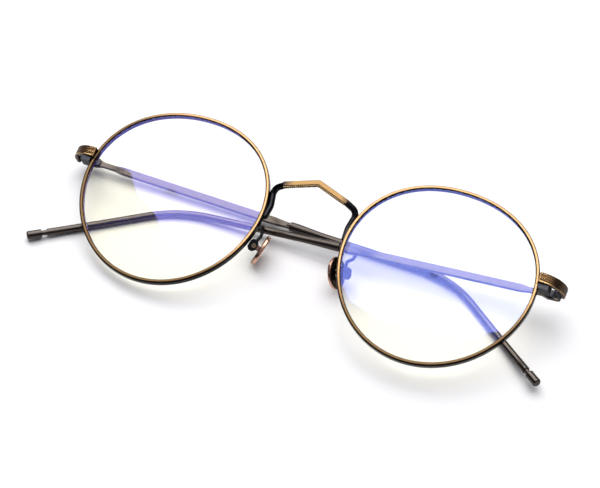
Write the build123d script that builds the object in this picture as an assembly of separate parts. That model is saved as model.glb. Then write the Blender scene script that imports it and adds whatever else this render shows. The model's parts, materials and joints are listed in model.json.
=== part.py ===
from build123d import *
import math
import os

os.makedirs("parts", exist_ok=True)

# Round wire eyeglasses, lying on their back with the temples folded behind the front.
# Everything is built in the front's own frame: X runs across the front, Y is the wearer's up
# and Z points out of the front, away from the face. The last step lays it on a table.
# Each sided piece is built for the wearer's right, at negative X, and mirrored for the left.
# Lengths are in millimetres and angles in degrees.

# ---- lens and rim ----
lens_width = 51.0
bridge_gap = 24.0
lens_spacing = lens_width + bridge_gap
# outline of a slightly pear-shaped round: radius as 1 + a cos(n t) + b sin(n t), t from the temple side
outline_terms = [(2, 0.023, 0.002), (3, 0.002, 0.020), (4, -0.003, 0.0)]
outline_points = 40
wrap_angle = 2.9
rim_inner = -0.5
rim_outer = 0.6
rim_depth = 1.6
rim_level = -0.8
rim_round = 0.42
lens_edge_gap = 0.1
bevel_half = 0.4
front_radius = 130.0
back_radius = 128.0
lens_edge_half = 0.75
outline_reach = 25.0

# ---- bridge ----
crown_peak = (0.0, 14.4, 2.5)
crown_end = (-9.0, 11.4, 2.1)
crown_height = 1.5
crown_depth = 1.7
crown_round = 0.3
leg_radius = 0.9
leg_route = [(-8.3, 11.63, 2.15), (-11.9, 10.4, 0.1), (-11.0, 5.6, -0.5), (-11.35, 2.4, -0.35)]
leg_bends = [2.2, 4.0]

# ---- end piece: the decorated strap from the rim round to the hinge ----
strap_height = 2.8
strap_thick = 1.0
strap_y = {"right": 6.2, "left": 7.7}
strap_start_x = 63.0
strap_level = -0.6
strap_bend = 5.4

# ---- closing blocks that clamp the rim round the lens ----
split_below = 1.45
split_gap = 0.2
block_outer_x = 66.3
block_front_z = -0.7
block_back_z = -4.3
upper_block_tall = 2.7
lower_block_tall = 1.2
closing_x = 65.0
closing_z = -2.6
closing_shank = 0.5
closing_head = 0.85
closing_head_tall = 0.5

# ---- hinge ----
barrel_radius = 1.15
leaf_offset = 1.2
knuckle_mid = 1.2
knuckle_end = 1.1
knuckle_gap = 0.1
hinge_hole = 0.63
hinge_shank = 0.6
hinge_head = 0.95
hinge_head_tall = 0.35
leaf_thick = 0.5
leaf_reach = 3.6
temple_leaf_half = 1.0
leaf_clear = 1.35
stop_gap = 0.05

# ---- temples: the wearer's right one folds last, so it lies outermost ----
temple_thick = 1.0
bar_half = 1.05
butt_half = 1.25
root_half = 0.65
spigot_half = 0.8
core_radius = 0.7
bore_radius = 0.72
collar_radius = 1.25
tip_radius = 1.0
cap_radius = 1.15
neck_length = 1.4
cap_length = 4.0
butt_end = 2.6
root_start = 4.4
root_end = 8.0
bar_start = 10.6
bar_end = 55.0
spigot_start = 58.2
collar_start = 59.8
collar_end = 62.0
taper_end = 68.5
bend_start = 96.7
temple_length = 146.2
drop_angle = {"right": 35.5, "left": 30.6}
drop_length = 17.6
drop_toe_in = {"right": 7.6, "left": 8.8}
tip_toe_in = {"right": 7.0, "left": 2.6}
bar_line = {"right": (-69.4, 7.0, -9.3), "left": (-69.4, 7.5, -8.9)}
fold_slope = {"right": 0.72, "left": 3.6}
fold_past = {"right": 2.6, "left": 0.7}
axis_inset = 1.9
pantoscopic = 5.0
open_splay = 3.0

# ---- nose pads ----
pad_centre = (-10.8, -4.7, -6.7)
pad_normal = (0.909, -0.155, -0.385)
pad_up = (0.258, 0.938, 0.231)
pad_long = 8.6
pad_wide = 7.2
pad_thick = 1.2
pad_hole_long = 3.5
pad_hole_wide = 2.6
pad_round = 0.4
pad_pivot = -2.3
tang_half = 0.75
tang_thick = 0.8
box_front = -1.35
box_back = -3.7
box_long = 3.2
box_wide = 2.9
cavity_half = 1.15
cavity_wide = 1.1
cavity_back = -3.35
pad_hole = 0.44
pad_shank = 0.4
pad_head = 0.65
pad_head_tall = 0.3
arm_radius = 0.45
arm_route = [
    (-12.2, -0.6, 0.35),
    (-12.5, 0.1, -2.6),
    (-13.4, 2.5, -8.05),
    (-13.0, 0.9, -8.3),
    (-12.3, -1.0, -6.5),
    (-12.7, -2.9, -5.9),
]
arm_bends = [3.0, 0.7, 0.8, 0.9]

# ---- how it lies on the table ----
rest_tilt = 15.77
rest_roll = -1.853


def outline(offset):
    """The lens outline grown by an offset, as points from its box centre, +X towards the nose."""
    raw = []
    for i in range(outline_points):
        t = 2 * math.pi * i / outline_points
        r = 1.0
        slope = 0.0
        for n, a, b in outline_terms:
            r += a * math.cos(n * t) + b * math.sin(n * t)
            slope += n * (b * math.cos(n * t) - a * math.sin(n * t))
        normal = Vector(
            r * math.cos(t) + slope * math.sin(t),
            r * math.sin(t) - slope * math.cos(t),
        )
        raw.append((Vector(r * math.cos(t), r * math.sin(t)), normal.normalized()))
    xs = [p.X for p, n in raw]
    ys = [p.Y for p, n in raw]
    scale = lens_width / (max(xs) - min(xs))
    middle = Vector((max(xs) + min(xs)) / 2, (max(ys) + min(ys)) / 2)
    grown = [(p - middle) * scale + n * offset for p, n in raw]
    return [(-p.X, p.Y) for p in grown]


def outline_wire(offset, level=0.0):
    """A closed smooth wire at a level along the rim's own axis, in the rim's own frame."""
    points = [(x, y, level) for x, y in outline(offset)]
    return Wire([Edge.make_spline([Vector(*p) for p in points], periodic=True)])


def rim_frame():
    """The wearer's right rim: its plane turns back towards the temple by the wrap angle."""
    w = math.radians(wrap_angle)
    return Plane(
        origin=(-lens_spacing / 2, 0, rim_level),
        x_dir=(math.cos(w), 0, math.sin(w)),
        z_dir=(-math.sin(w), 0, math.cos(w)),
    )


def prism(offset, low, high):
    """A solid plate with the lens outline, between two levels of the rim's frame."""
    face = Face(outline_wire(offset, low))
    return Solid.extrude(face, Vector(0, 0, high - low))


def bevel():
    """The plate that ends in the lens edge's V, which is also the groove of the rim."""
    low = outline_wire(rim_inner - lens_edge_gap, -bevel_half)
    mid = outline_wire(0.0, 0.0)
    high = outline_wire(rim_inner - lens_edge_gap, bevel_half)
    return Solid.make_loft([low, mid, high], ruled=True)


def split_height(side):
    """Where the rim is cut, level with the joint between the closing blocks."""
    return strap_y[side] - split_below


def make_rim(side):
    ring = prism(rim_outer, -rim_depth / 2, rim_depth / 2) - prism(rim_inner, -rim_depth, rim_depth)
    ring = fillet(ring.edges().group_by(Axis.Z)[-1], rim_round)
    ring = ring - bevel()
    slot = Box(4, split_gap, 2 * rim_depth)
    ring = ring - Pos(-outline_reach - 1, split_height(side), 0) * slot
    return rim_frame().location * ring


def sphere_cap(radius, edge_level):
    """A ball whose surface passes the lens edge at a level of the rim's frame."""
    centre = edge_level - math.sqrt(radius ** 2 - outline_reach ** 2)
    return Pos(0, 0, centre) * Sphere(radius)


def make_lens():
    blank = prism(rim_inner - lens_edge_gap, -3, 6)
    blank = blank & sphere_cap(front_radius, lens_edge_half)
    blank = blank - sphere_cap(back_radius, -lens_edge_half)
    edge = bevel() - prism(rim_inner - 3 * lens_edge_gap, -2, 2)
    return rim_frame().location * (blank + edge)


def in_front_of_rims(solid):
    """Takes away what would lie inside the two rims' outer walls."""
    hole = rim_frame().location * prism(rim_outer, -rim_depth / 2, rim_depth / 2)
    return solid - hole - mirror(hole, about=Plane.YZ)


def make_crown():
    """The arch of the bridge with its pointed middle, in a plane that leans with it."""
    peak = Vector(*crown_peak)
    foot = Vector(*crown_end)
    upright = (peak - Vector(0, foot.Y, foot.Z)).normalized()
    plane = Plane(origin=(0, foot.Y, foot.Z), x_dir=(1, 0, 0), z_dir=Vector(1, 0, 0).cross(upright))
    rise = (peak - Vector(0, foot.Y, foot.Z)).length
    path = plane.location * FilletPolyline((foot.X, 0), (0, rise), (-foot.X, 0), radius=0.8)
    start = Plane(origin=path @ 0, x_dir=plane.z_dir, z_dir=path % 0)
    return sweep(start * RectangleRounded(crown_depth, crown_height, crown_round), path=path)


def make_bridge():
    """Pointed arch whose two round legs turn back and run down behind the nose sides of the rims."""
    path = FilletPolyline(*leg_route, radius=leg_bends)
    start = Plane(origin=path @ 0, z_dir=path % 0)
    leg = sweep(start * Circle(leg_radius), path=path) + Pos(*leg_route[-1]) * Sphere(leg_radius)
    return in_front_of_rims(make_crown() + leg + mirror(leg, about=Plane.YZ))


def strap_path(side):
    """The strap's middle line in plan, from over the rim to the hinge, as an X-Z wire."""
    leg_x = axis_at(side).X - leaf_offset - temple_thick / 2
    corner_x = leg_x + strap_bend
    level = strap_level
    height = strap_y[side]
    start = Vector(-strap_start_x, height, level)
    turn = Vector(corner_x, height, level)
    low = Vector(leg_x, height, level - strap_bend)
    end = Vector(leg_x, height, axis_at(side).Z - 1.5)
    half = math.radians(45)
    mid = Vector(
        corner_x - strap_bend * math.sin(half),
        height,
        level - strap_bend * (1 - math.cos(half)),
    )
    arc = Edge.make_three_point_arc(turn, mid, low)
    return Wire([Edge.make_line(start, turn), arc, Edge.make_line(low, end)])


def make_strap(side):
    path = strap_path(side)
    start = Plane(origin=path @ 0, x_dir=(0, 1, 0), z_dir=path % 0)
    section = start * RectangleRounded(strap_height, strap_thick, 0.2)
    return in_front_of_rims(sweep(section, path=path))


def directions(side):
    """Unit vectors of the right temple bar when folded and when open, and of the hinge axis."""
    slope = math.radians(fold_slope[side])
    past = math.radians(fold_past[side])
    folded = Vector(math.cos(slope) * math.cos(past), -math.sin(slope), -math.sin(past))
    tilt = math.radians(pantoscopic)
    splay = math.radians(open_splay)
    opened = Vector(-math.sin(splay), -math.sin(tilt), -math.cos(splay))
    folded = folded.normalized()
    opened = opened.normalized()
    return folded, opened, folded.cross(opened).normalized()


def open_angle(side):
    folded, opened, axis = directions(side)
    return folded.get_angle(opened)


def axis_at(side):
    """The middle of the hinge axis: inboard of the strap's leg, in front of the folded bar."""
    folded, opened, axis = directions(side)
    inner = folded.cross(axis)
    line = Vector(*bar_line[side])
    return line + folded * axis_inset + inner * (leaf_offset + temple_thick / 2)


def temple_frame(side, opened_out=False):
    """The temple's frame on the hinge axis: +X along the bar, +Y up the axis, +Z to the inner side."""
    folded, opened, axis = directions(side)
    along = opened if opened_out else folded
    return Plane(origin=axis_at(side), x_dir=along, z_dir=along.cross(axis))


def hinge_pocket(side):
    """The space of the barrel and its leaf, in the open temple's frame."""
    barrel_side = Pos(1.6, 0, 4 - leaf_offset) * Box(13, 8, 8)
    behind = Pos(4 - stop_gap, 0, 0) * Box(8, 8, 12)
    return temple_frame(side, True).location * (barrel_side + behind)


def make_end_piece(side):
    return make_strap(side) - hinge_pocket(side)


def make_blocks(side):
    """Upper and lower closing blocks, brazed to the rim each side of its split."""
    wide = block_outer_x - 60
    deep = block_front_z - block_back_z
    blocks = []
    split = split_height(side)
    spans = [
        (split + split_gap / 2, split + split_gap / 2 + upper_block_tall),
        (split - split_gap / 2 - lower_block_tall, split - split_gap / 2),
    ]
    for low, high in spans:
        block = Pos(-block_outer_x, low, block_back_z) * Box(
            wide, high - low, deep, align=(Align.MIN, Align.MIN, Align.MIN)
        )
        block = fillet(block.edges().filter_by(Axis.Y), 0.3)
        blocks.append(block)
    rim_plate = rim_frame().location * prism(rim_outer, -6, 6)
    screw = make_closing_screw(side)
    upper = blocks[0] - rim_plate - make_strap(side) - screw
    lower = blocks[1] - rim_plate - screw
    return upper, lower


def make_closing_screw(side):
    """Slotted screw that pulls the two blocks together, its head in the lower block."""
    bottom = split_height(side) - split_gap / 2 - lower_block_tall + 0.1
    top = split_height(side) + upper_block_tall - 0.4
    upright = Plane(origin=(-closing_x, bottom, closing_z), x_dir=(1, 0, 0), z_dir=(0, 1, 0))
    head = Cylinder(closing_head, closing_head_tall, align=(Align.CENTER, Align.CENTER, Align.MIN))
    shank = Cylinder(closing_shank, top - bottom, align=(Align.CENTER, Align.CENTER, Align.MIN))
    slot = Pos(0, 0, 0.1) * Box(4, 0.3, 0.2)
    return upright.location * (head + shank - slot)


def knuckle(low, high):
    """One hinge knuckle on the Y axis between two heights, with its hole."""
    ring = Cylinder(barrel_radius, high - low) - Cylinder(hinge_hole, high - low)
    return Pos(0, (low + high) / 2, 0) * Rot(X=90) * ring


def leaf_plate(half_height):
    """The plate of a hinge leaf along +X, with a rounded far end."""
    plate = Box(leaf_reach - leaf_clear, 2 * half_height, leaf_thick)
    plate = fillet(plate.edges().filter_by(Axis.Z).group_by(Axis.X)[-1], half_height * 0.6)
    return Pos((leaf_reach + leaf_clear) / 2, 0, leaf_thick / 2 - leaf_offset) * plate


def web(low, high):
    """Joins a knuckle to its plate."""
    block = Box(leaf_clear, high - low, leaf_offset - 0.2, align=(Align.MIN, Align.MIN, Align.MIN))
    block = Pos(0, low, -leaf_offset) * block
    return block - Rot(X=90) * Cylinder(hinge_hole, 10)


def make_temple_leaf(side):
    half = knuckle_mid / 2
    leaf = knuckle(-half, half) + web(-half, half) + leaf_plate(temple_leaf_half)
    return temple_frame(side).location * leaf


def make_front_leaf(side):
    """The two end knuckles on a plate behind the strap's leg."""
    low = knuckle_mid / 2 + knuckle_gap
    high = low + knuckle_end
    leaf = leaf_plate(high)
    for a, b in ((low, high), (-high, -low)):
        leaf = leaf + knuckle(a, b) + web(a, b)
    turned = mirror(leaf, about=Plane.YZ)
    return temple_frame(side, True).location * turned


def make_hinge_screw(side):
    """Slotted hinge screw, its head on the top knuckle and its end level with the lowest."""
    high = knuckle_mid / 2 + knuckle_gap + knuckle_end
    head = Pos(0, 0, high) * Cylinder(
        hinge_head, hinge_head_tall, align=(Align.CENTER, Align.CENTER, Align.MIN)
    )
    head = fillet(head.edges().group_by(Axis.Z)[-1], 0.12)
    shank = Cylinder(hinge_shank, 2 * high)
    slot = Pos(0, 0, high + hinge_head_tall) * Box(4, 0.3, 0.36)
    upright = Rot(X=-90) * (head + shank - slot)
    return temple_frame(side, True).location * upright


def tangent_arc(start, along, towards, radius, angle):
    """An arc that leaves start along a direction and bends towards another: edge, end, direction."""
    centre = start + towards * radius

    def at(part):
        return centre - towards * radius * math.cos(part) + along * radius * math.sin(part)

    edge = Edge.make_three_point_arc(start, at(angle / 2), at(angle))
    return edge, at(angle), along * math.cos(angle) + towards * math.sin(angle)


def temple_route(side, first, last):
    """The temple's middle line, in its own frame, between two lengths from the hinge axis.

    It is straight to the bend, then drops and toes in over the ear, then toes in to the tip.
    """
    level = -(leaf_offset + temple_thick / 2)
    along = Vector(1, 0, 0)
    bend = Vector(bend_start, 0, level)
    turn = math.radians(math.hypot(drop_angle[side], drop_toe_in[side]))
    towards = Vector(0, -drop_angle[side], drop_toe_in[side]).normalized()
    drop, ear, down = tangent_arc(bend, along, towards, drop_length / turn, turn)
    rest = last - bend_start - drop_length
    full = temple_length - bend_start - drop_length
    toe = math.radians(tip_toe_in[side])
    inward = Vector(0, 0, 1)
    inward = (inward - down * inward.dot(down)).normalized()
    tip, end, final = tangent_arc(ear, down, inward, full / toe, toe * rest / full)
    return Wire([Edge.make_line(Vector(first, 0, level), bend), drop, tip]), end, final


def tip_sweep(side, first, last, radius):
    route, end, along = temple_route(side, first, last)
    start = Plane(origin=route @ 0, z_dir=route % 0)
    return sweep(start * Circle(radius), path=route)


def cap_frame(side):
    """The frame at the start of the end cap, +Z along the tip."""
    route, end, along = temple_route(side, bend_start - 1, temple_length - cap_length)
    return Plane(origin=end, z_dir=along)


def make_bar(side):
    """Butt, thin root and flat bar in one with the round core that the sleeve slides on."""
    upper = [
        (stop_gap, butt_half),
        (butt_end, butt_half),
        (root_start, root_half),
        (root_end, root_half),
        (bar_start, bar_half),
        (bar_end, bar_half),
        (spigot_start, spigot_half),
        (collar_start, spigot_half),
    ]
    corners = upper + [(x, -y) for x, y in reversed(upper)]
    level = -(leaf_offset + temple_thick / 2)
    flat = extrude(make_face(Polyline(*corners, close=True)), temple_thick / 2, both=True)
    flat = Pos(0, 0, level) * flat
    flat = chamfer(flat.edges().filter_by(Axis.X).filter_by(lambda e: e.length > 30), 0.15)
    core = tip_sweep(side, collar_start - 1, temple_length - 1.0, core_radius)
    return temple_frame(side).location * (flat + core)


def make_sleeve(side):
    """Tapered collar and round tip sleeve, bored for the core."""
    level = -(leaf_offset + temple_thick / 2)
    end = temple_length - cap_length - neck_length
    body = tip_sweep(side, taper_end - 2, end, tip_radius)
    seat = (Align.CENTER, Align.CENTER, Align.MIN)
    collar = Cylinder(collar_radius, collar_end - collar_start, align=seat)
    taper = Cone(collar_radius, tip_radius, taper_end - collar_end, align=seat)
    collar = Pos(collar_start, 0, level) * Rot(Y=90) * collar
    taper = Pos(collar_end, 0, level) * Rot(Y=90) * taper
    bore = tip_sweep(side, collar_start - 1, end + 2, bore_radius)
    return temple_frame(side).location * (body + collar + taper - bore)


def make_cap(side):
    """Round cap pressed on the end of the core, with a rounded nose."""
    cap = Cylinder(cap_radius, cap_length, align=(Align.CENTER, Align.CENTER, Align.MIN))
    cap = fillet(cap.edges().group_by(Axis.Z)[-1], 0.5)
    cap = fillet(cap.edges().group_by(Axis.Z)[0], 0.2)
    cap = cap_frame(side).location * cap
    cap = cap - tip_sweep(side, bend_start - 1, temple_length - 1.0, bore_radius)
    return temple_frame(side).location * cap


def pad_frame():
    """The right pad's frame: +X up its long axis, +Z out of the face that rests on the nose."""
    normal = Vector(*pad_normal).normalized()
    up = Vector(*pad_up)
    up = (up - normal * up.dot(normal)).normalized()
    return Plane(origin=pad_centre, x_dir=up, z_dir=normal)


def across(radius, length, level=0.0):
    """A round bar along the pad's short axis at the pivot."""
    return Pos(0, level, pad_pivot) * Rot(X=90) * Cylinder(radius, length)


def make_pad():
    """Oval ring with a bar across its hole that carries the tang."""
    ring = extrude(Ellipse(pad_long / 2, pad_wide / 2), pad_thick / 2, both=True)
    ring = fillet(ring.edges(), pad_round)
    hole = extrude(Ellipse(pad_hole_long / 2, pad_hole_wide / 2), pad_thick, both=True)
    ring = ring - hole
    bar = Pos(0, 0, -0.2) * Box(1.0, pad_hole_wide + 0.6, 0.6)
    neck = Pos(0, 0, (pad_pivot - 0.2) / 2) * Box(2 * tang_half, tang_thick, -pad_pivot - 0.2)
    tang = across(tang_half, tang_thick) + neck
    pad = ring + bar + tang - across(pad_hole, 4)
    return pad_frame().location * pad


def make_pad_box():
    """Faceted box that holds the tang between its cheeks."""
    deep = box_front - box_back
    box = Pos(0, 0, (box_front + box_back) / 2) * Box(box_long, box_wide, deep)
    box = chamfer(box.edges().filter_by(Axis.Y), 0.7)
    cavity_deep = box_front - cavity_back + 0.1
    cavity_middle = box_front + 0.1 - cavity_deep / 2
    cavity = Pos(0, 0, cavity_middle) * Box(2 * cavity_half, cavity_wide, cavity_deep)
    box = box - cavity - across(pad_shank, 4)
    return pad_frame().location * box


def make_pad_screw():
    """Slotted screw through both cheeks and the tang, its head towards the front."""
    head = across(pad_head, pad_head_tall, box_wide / 2 + pad_head_tall / 2)
    shank = across(pad_shank, box_wide)
    slot = Pos(0, box_wide / 2 + pad_head_tall, pad_pivot) * Box(3, 0.24, 0.22)
    return pad_frame().location * (head + shank - slot)


def make_pad_arm(box):
    """Bent wire from the back of the rim, round a hairpin, to the box."""
    path = FilletPolyline(*arm_route, radius=arm_bends)
    start = Plane(origin=path @ 0, z_dir=path % 0)
    wire = sweep(start * Circle(arm_radius), path=path)
    rim_plate = rim_frame().location * prism(rim_outer, -rim_depth / 2, rim_depth / 2)
    return wire - rim_plate - box


def sided_parts(side):
    """Every piece of one side, built for the wearer's right."""
    upper, lower = make_blocks(side)
    box = make_pad_box()
    return {
        "rim": make_rim(side),
        "lens": make_lens(),
        "end_piece": make_end_piece(side),
        "closing_block_upper": upper,
        "closing_block_lower": lower,
        "closing_screw": make_closing_screw(side),
        "hinge_front_leaf": make_front_leaf(side),
        "hinge_temple_leaf": make_temple_leaf(side),
        "hinge_screw": make_hinge_screw(side),
        "temple_bar": make_bar(side),
        "temple_sleeve": make_sleeve(side),
        "temple_end_cap": make_cap(side),
        "pad_arm": make_pad_arm(box),
        "pad_box": box,
        "pad": make_pad(),
        "pad_screw": make_pad_screw(),
    }


def all_parts():
    parts = {"bridge": make_bridge()}
    for side in ("right", "left"):
        for name, solid in sided_parts(side).items():
            placed = mirror(solid, about=Plane.YZ) if side == "left" else solid
            parts[side + "_" + name] = placed
    return parts


def resting(parts):
    """Where the front's frame goes so that the glasses lie on the table, centred on the origin."""
    laid = Rot(Y=rest_roll) * Rot(X=rest_tilt)
    boxes = [(laid * solid).bounding_box() for solid in parts.values()]
    low = Vector(*(min(getattr(b.min, k) for b in boxes) for k in "XYZ"))
    high = Vector(*(max(getattr(b.max, k) for b in boxes) for k in "XYZ"))
    shift = Vector(-(low.X + high.X) / 2, -(low.Y + high.Y) / 2, -low.Z)
    return Location(shift) * laid


def main():
    parts = all_parts()
    laid = resting(parts)
    for name, solid in parts.items():
        export_step(laid * solid, f"parts/{name}.step")


if __name__ == "__main__":
    main()
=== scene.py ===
"""Round wire eyeglasses on a white table: antique plating, coated lenses, fine beads and ridges."""
import json
import math

import bpy
from mathutils import Matrix, Vector


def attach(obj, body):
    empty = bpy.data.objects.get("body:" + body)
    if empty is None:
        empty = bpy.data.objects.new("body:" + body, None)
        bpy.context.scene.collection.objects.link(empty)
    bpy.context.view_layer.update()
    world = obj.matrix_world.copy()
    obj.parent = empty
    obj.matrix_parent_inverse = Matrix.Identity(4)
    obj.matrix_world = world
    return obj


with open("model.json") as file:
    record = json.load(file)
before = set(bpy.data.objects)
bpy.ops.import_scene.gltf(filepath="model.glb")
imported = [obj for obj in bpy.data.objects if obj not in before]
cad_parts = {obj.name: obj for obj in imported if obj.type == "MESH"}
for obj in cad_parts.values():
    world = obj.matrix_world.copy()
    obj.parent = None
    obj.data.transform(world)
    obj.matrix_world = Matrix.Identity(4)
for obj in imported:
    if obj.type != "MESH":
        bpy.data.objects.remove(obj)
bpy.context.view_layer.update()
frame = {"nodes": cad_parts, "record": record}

SIDES = ("right", "left")

# ---- how the front stands in the row's frame ----
# The front's own frame has X across, Y up the wearer's brow and Z out of the lenses, in millimetres.
TILT = math.radians(15.77)
ROLL = math.radians(-1.853)
TURN = Matrix.Rotation(ROLL, 3, "Y") @ Matrix.Rotation(TILT, 3, "X")
OUT = TURN @ Vector((0, 0, 1))
NOSE_REST = Vector((0, -4.7, -6.7))
nose_rest = next(mount for mount in frame["record"]["mounts"] if mount["name"] == "nose_rest")
ORIGIN = Vector(nose_rest["pos_m"]) - TURN @ NOSE_REST / 1000


def at(x, y, z):
    """A point of the front's frame, in millimetres, as a point of the row's frame in metres."""
    return ORIGIN + TURN @ Vector((x, y, z)) / 1000


def sign_of(side):
    """The wearer's right is at negative X."""
    return -1 if side == "right" else 1


# ---- helpers for materials ----
def new_material(name):
    material = bpy.data.materials.new(name)
    material.use_nodes = True
    nodes = material.node_tree.nodes
    nodes.clear()
    return material, nodes, material.node_tree.links


def finish_material(nodes, links, shader):
    """Joins a shader to the material's output."""
    output = nodes.new("ShaderNodeOutputMaterial")
    links.new(shader, output.inputs["Surface"])


def dot_product(nodes, links, vector, direction):
    dot = nodes.new("ShaderNodeVectorMath")
    dot.operation = "DOT_PRODUCT"
    links.new(vector, dot.inputs[0])
    dot.inputs[1].default_value = direction
    return dot.outputs["Value"]


def map_range(nodes, links, value, start, end, low=0.0, high=1.0):
    """Maps start..end to low..high, clamped."""
    node = nodes.new("ShaderNodeMapRange")
    node.inputs["From Min"].default_value = start
    node.inputs["From Max"].default_value = end
    node.inputs["To Min"].default_value = low
    node.inputs["To Max"].default_value = high
    links.new(value, node.inputs["Value"])
    return node.outputs["Result"]


def ramp(nodes, links, value, stops):
    node = nodes.new("ShaderNodeValToRGB")
    elements = node.color_ramp.elements
    while len(elements) < len(stops):
        elements.new(0.5)
    for element, (place, colour) in zip(elements, stops):
        element.position = place
        element.color = (*colour, 1)
    links.new(value, node.inputs["Fac"])
    return node.outputs["Color"]


def noise(nodes, links, coords, scale, stretch):
    mapping = nodes.new("ShaderNodeMapping")
    mapping.inputs["Scale"].default_value = stretch
    links.new(coords.outputs["Object"], mapping.inputs["Vector"])
    node = nodes.new("ShaderNodeTexNoise")
    node.inputs["Scale"].default_value = scale
    node.inputs["Detail"].default_value = NOISE_DETAIL
    links.new(mapping.outputs["Vector"], node.inputs["Vector"])
    return node.outputs["Fac"]


def spread(nodes, links, grey, low, high):
    """Spreads the middle of the noise's values over low..high."""
    return map_range(nodes, links, grey, *NOISE_MIDDLE, low, high)


def tinted(nodes, links, colour, value):
    """A colour multiplied by a grey value."""
    node = nodes.new("ShaderNodeVectorMath")
    node.operation = "SCALE"
    links.new(colour, node.inputs[0])
    links.new(value, node.inputs["Scale"])
    return node.outputs["Vector"]


def dark_beyond(nodes, links, coords, colour, start, end):
    """Fades a colour to black plating from one distance to another either side of the middle."""
    axes = nodes.new("ShaderNodeSeparateXYZ")
    links.new(coords.outputs["Object"], axes.inputs["Vector"])
    size = nodes.new("ShaderNodeMath")
    size.operation = "ABSOLUTE"
    links.new(axes.outputs["X"], size.inputs[0])
    mix = nodes.new("ShaderNodeMix")
    mix.data_type = "RGBA"
    links.new(map_range(nodes, links, size.outputs["Value"], start, end), mix.inputs["Factor"])
    links.new(colour, mix.inputs["A"])
    mix.inputs["B"].default_value = (*BLACK_PLATING, 1)
    return mix.outputs["Result"]


def far_side_shade(nodes, links, coords, colour, centre, towards, start, end):
    """Painted shade: darkens a colour on the far side of a centre, to dark brown up to start, full
    brightness from end.
    """
    offset = nodes.new("ShaderNodeVectorMath")
    offset.operation = "SUBTRACT"
    links.new(coords.outputs["Object"], offset.inputs[0])
    offset.inputs[1].default_value = centre
    place = dot_product(nodes, links, offset.outputs["Vector"], towards)
    return tinted(nodes, links, colour, map_range(nodes, links, place, start, end, FAR_SIDE_SHADE))


def facing_shaded_metal(
    name, direction, stops, rough, wear=0.12, grain=900.0, stretch=(1, 1, 1), dark=None, far_shade=None
):
    """Plated metal with painted light and shade: its colour depends on which way the surface faces; worn
    and finely brushed.
    """
    material, nodes, links = new_material(name)
    coords = nodes.new("ShaderNodeTexCoord")
    # Painted light and shade: the colour follows which way the surface faces.
    facing = dot_product(nodes, links, coords.outputs["Normal"], direction)
    colour = ramp(nodes, links, map_range(nodes, links, facing, -1, 1), stops)
    if dark:
        colour = dark_beyond(nodes, links, coords, colour, *dark)
    # Painted shade on the far side of the part, where given.
    if far_shade:
        colour = far_side_shade(nodes, links, coords, colour, *far_shade)
    grey = noise(nodes, links, coords, grain, stretch)
    colour = tinted(nodes, links, colour, spread(nodes, links, grey, 1 - wear, 1 + wear))
    shader = nodes.new("ShaderNodeBsdfPrincipled")
    shader.inputs["Metallic"].default_value = 1.0
    links.new(colour, shader.inputs["Base Color"])
    roughness = spread(nodes, links, grey, rough - SMOOTHER, rough + ROUGHER)
    links.new(roughness, shader.inputs["Roughness"])
    bump = nodes.new("ShaderNodeBump")
    bump.inputs["Strength"].default_value = BUMP_STRENGTH
    bump.inputs["Distance"].default_value = BUMP_DEPTH
    links.new(grey, bump.inputs["Height"])
    links.new(bump.outputs["Normal"], shader.inputs["Normal"])
    finish_material(nodes, links, shader.outputs["BSDF"])
    return material


# ---- metals ----
# The stops of each metal paint light and shade by facing: they run from 0, facing away from the direction,
# through 0.5, edge on, to 1, facing it.
NOISE_DETAIL = 4.0
NOISE_MIDDLE = (0.3, 0.7)
SMOOTHER = 0.06
ROUGHER = 0.08
BUMP_STRENGTH = 0.12
BUMP_DEPTH = 0.00002

BLACK = (0.012, 0.011, 0.012)
BLACK_PLATING = (0.022, 0.022, 0.026)
UMBER = (0.045, 0.03, 0.022)
BRONZE = (0.17, 0.095, 0.04)
GOLD = (0.36, 0.22, 0.105)

RIM_STOPS = [(0.0, BLACK), (0.6, BLACK), (0.8, UMBER), (0.93, BRONZE), (0.985, GOLD)]
CROWN_STOPS = [(0.0, BLACK), (0.7, UMBER), (0.93, (0.11, 0.065, 0.028)), (0.998, (0.27, 0.165, 0.07))]
CROWN_GOLD_ENDS = (0.0066, 0.0094)
LEG_STOPS = [(0.0, BLACK), (0.6, BLACK), (1.0, (0.03, 0.03, 0.034))]
STRAP_STOPS = [(0.0, BLACK), (0.5, UMBER), (0.8, (0.13, 0.08, 0.05)), (1.0, BRONZE)]
BEAD_STOPS = [(0.0, UMBER), (0.6, BRONZE), (1.0, (0.75, 0.52, 0.25))]
BLOCK_STOPS = [(0.0, (0.02, 0.02, 0.024)), (1.0, (0.06, 0.06, 0.07))]
TEMPLE_STOPS = [(0.0, (0.05, 0.037, 0.031)), (0.5, (0.07, 0.053, 0.045)), (1.0, (0.088, 0.075, 0.066))]
SCREW_STOPS = [(0.0, UMBER), (1.0, (0.4, 0.29, 0.18))]
PAD_SHADE_STOPS = [(0.0, (0.035, 0.02, 0.016)), (0.2, (0.05, 0.03, 0.022))]
PAD_ROSE_STOPS = [(0.45, (0.62, 0.36, 0.25)), (1.0, (0.8, 0.5, 0.37))]

# Painted light and shade: the plating of each rim is bright towards one direction of its face and painted
# darker brown beyond, as shade.
FAR_SIDE_SHADE = 0.3
RIM_X = 37.5
RIM_RADIUS = 0.0255
BRIGHT_WAY = {"right": math.radians(45), "left": math.radians(100)}
BRIGHT_FROM = {"right": (0.0, 0.55), "left": (-0.45, 0.0)}


def antique_rim_and_shade(side):
    way = Vector((math.cos(BRIGHT_WAY[side]), math.sin(BRIGHT_WAY[side]), 0))
    centre = at(sign_of(side) * RIM_X, 0, 0)
    # Painted shade on the far side of the rim from its bright way.
    far_shade = (centre, TURN @ way / RIM_RADIUS, *BRIGHT_FROM[side])
    return facing_shaded_metal("antique_rim_and_shade_" + side, OUT, RIM_STOPS, 0.15, far_shade=far_shade)


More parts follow.
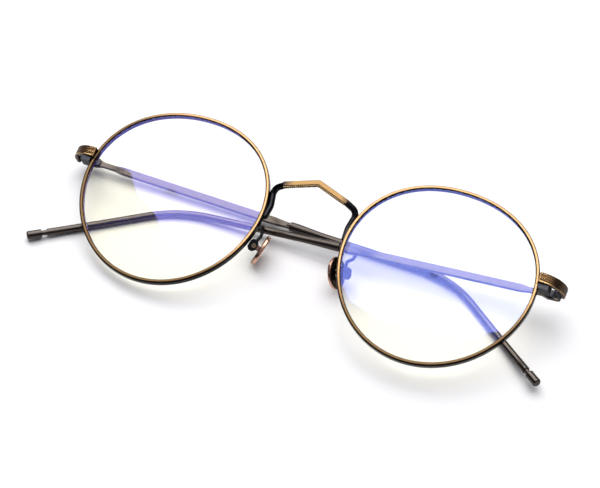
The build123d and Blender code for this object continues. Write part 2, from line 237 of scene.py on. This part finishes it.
PAD_NORMAL = Vector((0.909, -0.155, -0.385)).normalized()


def rose_gold(side):
    """Rose gold on the pad's nose side and rim, with painted shade on the inside, which faces away from the
    nose side.
    """
    normal = Vector((-sign_of(side) * PAD_NORMAL.x, PAD_NORMAL.y, PAD_NORMAL.z))
    return facing_shaded_metal("rose_gold_" + side, TURN @ normal, PAD_SHADE_STOPS + PAD_ROSE_STOPS, 0.25)


rim_metal = {side: antique_rim_and_shade(side) for side in SIDES}
bridge_gold = facing_shaded_metal("antique_gold", OUT, CROWN_STOPS, 0.2, dark=CROWN_GOLD_ENDS)
leg_metal = facing_shaded_metal("dark_leg", OUT, LEG_STOPS, 0.42)
strap_metal = facing_shaded_metal("ridged_strap", OUT, STRAP_STOPS, 0.34)
bead_gold = facing_shaded_metal("bead_gold", OUT, BEAD_STOPS, 0.25)
block_metal = facing_shaded_metal("dark_block", OUT, BLOCK_STOPS, 0.5, wear=0.3, grain=1400.0)
temple_metal = facing_shaded_metal(
    "gunmetal_temple", OUT, TEMPLE_STOPS, 0.24, wear=0.1, grain=700.0, stretch=(0.08, 1, 1)
)
screw_metal = facing_shaded_metal("screw_brass", OUT, SCREW_STOPS, 0.3)
pad_metal = {side: rose_gold(side) for side in SIDES}

# ---- lenses ----
CLEAR_RESIN = (0.99, 0.985, 0.925)
SHEEN = {"right": (0.023, 0.023, 0.08), "left": (0.022, 0.029, 0.1)}


def coated_lens(side):
    """Clear resin with a faint cream body and a violet anti-reflection sheen on each face."""
    material, nodes, links = new_material("coated_lens_" + side)
    clear = nodes.new("ShaderNodeBsdfTransparent")
    clear.inputs["Color"].default_value = (*CLEAR_RESIN, 1)
    sheen = nodes.new("ShaderNodeBsdfGlossy")
    sheen.inputs["Color"].default_value = (*SHEEN[side], 1)
    sheen.inputs["Roughness"].default_value = 0.0
    both = nodes.new("ShaderNodeAddShader")
    links.new(clear.outputs["BSDF"], both.inputs[0])
    links.new(sheen.outputs["BSDF"], both.inputs[1])
    finish_material(nodes, links, both.outputs["Shader"])
    return material


lens_coat = {side: coated_lens(side) for side in SIDES}

# ---- the finish of each CAD node ----
SAME_ON_BOTH_SIDES = {
    "end_piece": strap_metal,
    "closing_block_upper": block_metal,
    "closing_block_lower": block_metal,
    "closing_screw": screw_metal,
    "hinge_front_leaf": block_metal,
    "hinge_temple_leaf": block_metal,
    "hinge_screw": screw_metal,
    "temple_bar": temple_metal,
    "temple_sleeve": temple_metal,
    "temple_end_cap": temple_metal,
    "pad_arm": leg_metal,
    "pad_box": leg_metal,
    "pad_screw": screw_metal,
}
BY_SIDE = {"rim": rim_metal, "lens": lens_coat, "pad": pad_metal}


def finish_of(name):
    if name == "bridge":
        return bridge_gold
    side, part = name.split("_", 1)
    if part in BY_SIDE:
        return BY_SIDE[part][side]
    return SAME_ON_BOTH_SIDES[part]


for name, node in frame["nodes"].items():
    node.data.materials.clear()
    node.data.materials.append(finish_of(name))

# ---- milgrain beads and ridges, which the CAD model leaves plain ----
BEAD_RINGS = 5
BEAD_SIDES = 8


def add_bead(verts, faces, centre, radius):
    """Adds a small ball, as rings between two poles."""
    base = len(verts)
    for i in range(1, BEAD_RINGS):
        lat = math.pi * i / BEAD_RINGS
        for j in range(BEAD_SIDES):
            lon = 2 * math.pi * j / BEAD_SIDES
            way = Vector((math.sin(lat) * math.cos(lon), math.sin(lat) * math.sin(lon), math.cos(lat)))
            verts.append(centre + way * radius)
    verts.append(centre + Vector((0, 0, radius)))
    verts.append(centre - Vector((0, 0, radius)))
    top, bottom = len(verts) - 2, len(verts) - 1
    last = base + (BEAD_RINGS - 2) * BEAD_SIDES
    for j in range(BEAD_SIDES):
        k = (j + 1) % BEAD_SIDES
        faces.append((top, base + j, base + k))
        for i in range(BEAD_RINGS - 2):
            a, b = base + i * BEAD_SIDES, base + (i + 1) * BEAD_SIDES
            faces.append((a + j, b + j, b + k, a + k))
        faces.append((bottom, last + k, last + j))


def beads(name, points, radius):
    """Small round beads in a row, all one piece."""
    verts = []
    faces = []
    for centre in points:
        add_bead(verts, faces, centre, radius)
    mesh = bpy.data.meshes.new(name)
    mesh.from_pydata([tuple(v) for v in verts], [], faces)
    for polygon in mesh.polygons:
        polygon.use_smooth = True
    obj = bpy.data.objects.new(name, mesh)
    bpy.context.scene.collection.objects.link(obj)
    obj.data.materials.append(bead_gold)
    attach(obj, "front")


def along(points, pitch):
    """Points at an even pitch along a broken line."""
    out = []
    carry = 0.0
    for a, b in zip(points, points[1:]):
        length = (b - a).length
        place = carry
        while place < length:
            out.append(a + (b - a) * (place / length))
            place += pitch
        carry = place - length
    return out


# The bridge's crown, in the front's frame, with two rows of beads round its lower edge.
PEAK = Vector((0, 14.4, 2.5))
CROWN_END = Vector((8.6, 11.53, 2.13))
LEAN = math.atan2(PEAK.z - CROWN_END.z, PEAK.y - CROWN_END.y)
CROWN_DOWN = Vector((0, -math.cos(LEAN), -math.sin(LEAN)))
CROWN_OUT = Vector((0, -math.sin(LEAN), math.cos(LEAN)))
CROWN_ROWS = ((0.88, 0.6), (0.95, 0.1))
BEAD_PITCH = 0.00052
BEAD_RADIUS = 0.00024
crown_line = [CROWN_END * Vector((-1, 1, 1)), PEAK, CROWN_END]
for row, (drop, lift) in enumerate(CROWN_ROWS):
    line = [at(*(corner + CROWN_DOWN * drop + CROWN_OUT * lift)) for corner in crown_line]
    beads(f"bridge_milgrain_{row + 1}", along(line, BEAD_PITCH), BEAD_RADIUS)

# The strap of each end piece, in the front's frame: straight from the rim, then bent back to the hinge.
STRAP_Y = {"right": 6.2, "left": 7.7}
STRAP_START_X = 63.5
STRAP_END_X = 69.2
STRAP_LEVEL = -0.6
STRAP_BEND = 5.4
BEND_STEPS = 10
RIDGES = 5
RIDGE_FROM = -1.15
RIDGE_SPAN = 2.3
RIDGE_LIFT = 0.45
RIDGE_RADIUS = 0.00021
STRAP_BEAD_ROWS = (-0.29, 0.86)
STRAP_BEAD_LIFT = 0.6
STRAP_BEAD_REACH = 0.5
STRAP_BEAD_POINTS = 4


def strap_line(side, rise, lift, reach):
    """A line along the strap's outer face: rise above its middle, lift out of its middle surface."""
    corner = STRAP_END_X - STRAP_BEND
    points = [(STRAP_START_X, STRAP_LEVEL + lift), (corner, STRAP_LEVEL + lift)]
    radius = STRAP_BEND + lift
    for i in range(1, BEND_STEPS + 1):
        angle = math.radians(90 * reach * i / BEND_STEPS)
        level = STRAP_LEVEL - STRAP_BEND + radius * math.cos(angle)
        points.append((corner + radius * math.sin(angle), level))
    return [at(sign_of(side) * x, STRAP_Y[side] + rise, z) for x, z in points]


def ridge(name, points, material):
    """A fine raised line along the strap."""
    curve = bpy.data.curves.new(name, "CURVE")
    curve.dimensions = "3D"
    curve.bevel_depth = RIDGE_RADIUS
    curve.bevel_resolution = 2
    curve.use_fill_caps = True
    spline = curve.splines.new("POLY")
    spline.points.add(len(points) - 1)
    for point, place in zip(spline.points, points):
        point.co = (*place, 1)
    obj = bpy.data.objects.new(name, curve)
    bpy.context.scene.collection.objects.link(obj)
    obj.data.materials.append(material)
    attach(obj, "front")


for side in SIDES:
    for i in range(RIDGES):
        rise = RIDGE_FROM + RIDGE_SPAN * i / (RIDGES - 1)
        lowest = i == 0
        line = strap_line(side, rise, RIDGE_LIFT, 1.0)
        ridge(f"{side}_strap_ridge_{i + 1}", line, bead_gold if lowest else strap_metal)
    for i, rise in enumerate(STRAP_BEAD_ROWS):
        line = strap_line(side, rise, STRAP_BEAD_LIFT, STRAP_BEAD_REACH)[:STRAP_BEAD_POINTS]
        beads(f"{side}_strap_beads_{i + 1}", along(line, BEAD_PITCH), BEAD_RADIUS)


# ---- floor and light ----
def white_table():
    material, nodes, links = new_material("white_table")
    shader = nodes.new("ShaderNodeBsdfPrincipled")
    shader.inputs["Base Color"].default_value = (0.79, 0.79, 0.79, 1)
    shader.inputs["Roughness"].default_value = 0.3
    shader.inputs["Specular IOR Level"].default_value = 0.3
    finish_material(nodes, links, shader.outputs["BSDF"])
    return material


def softbox_glow():
    material, nodes, links = new_material("softbox_glow")
    shader = nodes.new("ShaderNodeEmission")
    shader.inputs["Color"].default_value = (1.0, 0.99, 1.0, 1)
    shader.inputs["Strength"].default_value = 3.7
    finish_material(nodes, links, shader.outputs["Emission"])
    return material


def stage_plate(name, outline, height, material):
    """A flat piece of the stage, facing the way its outline turns."""
    mesh = bpy.data.meshes.new(name)
    mesh.from_pydata([(x, y, height) for x, y in outline], [], [tuple(range(len(outline)))])
    obj = bpy.data.objects.new(name, mesh)
    bpy.context.scene.collection.objects.link(obj)
    obj.data.materials.append(material)


TABLE_HALF = 3
table_outline = [(x * TABLE_HALF, y * TABLE_HALF) for x, y in ((-1, -1), (1, -1), (1, 1), (-1, 1))]
stage_plate("table_top", table_outline, 0, white_table())

# One large lamp over the table and behind it. Its near edge bounds the violet areas in the lenses.
SOFTBOX_HEIGHT = 0.6
SOFTBOX_OUTLINE = [
    (-1.3, 0.45), (-0.55, 0.14), (-0.48, 0.06), (-0.37, -0.01), (-0.3, -0.085), (-0.2, -0.125),
    (-0.06, -0.12), (0.08, -0.095), (0.145, -0.045), (0.45, 0.2), (0.45, 0.9), (-1.3, 0.9),
]
stage_plate("softbox", SOFTBOX_OUTLINE[::-1], SOFTBOX_HEIGHT, softbox_glow())

# The room's light by height: dark near the floor, grey overhead.
ROOM_STOPS = [
    (0.0, (0.02, 0.02, 0.024)),
    (0.35, (0.05, 0.05, 0.06)),
    (0.75, (0.22, 0.22, 0.26)),
    (1.0, (0.5, 0.5, 0.56)),
]


def room_light():
    world = bpy.data.worlds.new("studio")
    bpy.context.scene.world = world
    world.use_nodes = True
    nodes, links = world.node_tree.nodes, world.node_tree.links
    sky = nodes.new("ShaderNodeTexCoord")
    height = nodes.new("ShaderNodeSeparateXYZ")
    links.new(sky.outputs["Generated"], height.inputs["Vector"])
    links.new(ramp(nodes, links, height.outputs["Z"], ROOM_STOPS), nodes["Background"].inputs["Color"])


room_light()

# ---- camera ----
# A long lens from the front right and above, turned so that the glasses lie aslant in the picture.
PLACE = Vector((0.19673, -0.39702, 0.54929))
RIGHT = Vector((0.9138, 0.40451, -0.03667)).normalized()
BACK = Vector((0.28203, -0.56694, 0.77397)).normalized()
UP = BACK.cross(RIGHT).normalized()
camera_data = bpy.data.cameras.new("camera")
camera_data.sensor_width = 36.0
camera_data.lens = 161.1552
camera_data.shift_x = 0.0006833
camera_data.shift_y = 0.0015333
camera_data.clip_start = 0.05
camera_data.clip_end = 20
camera = bpy.data.objects.new("camera", camera_data)
bpy.context.scene.collection.objects.link(camera)
bpy.context.scene.camera = camera
camera.matrix_world = Matrix.Translation(PLACE) @ Matrix((RIGHT, UP, BACK)).transposed().to_4x4()

bpy.context.scene.view_settings.view_transform = "Standard"
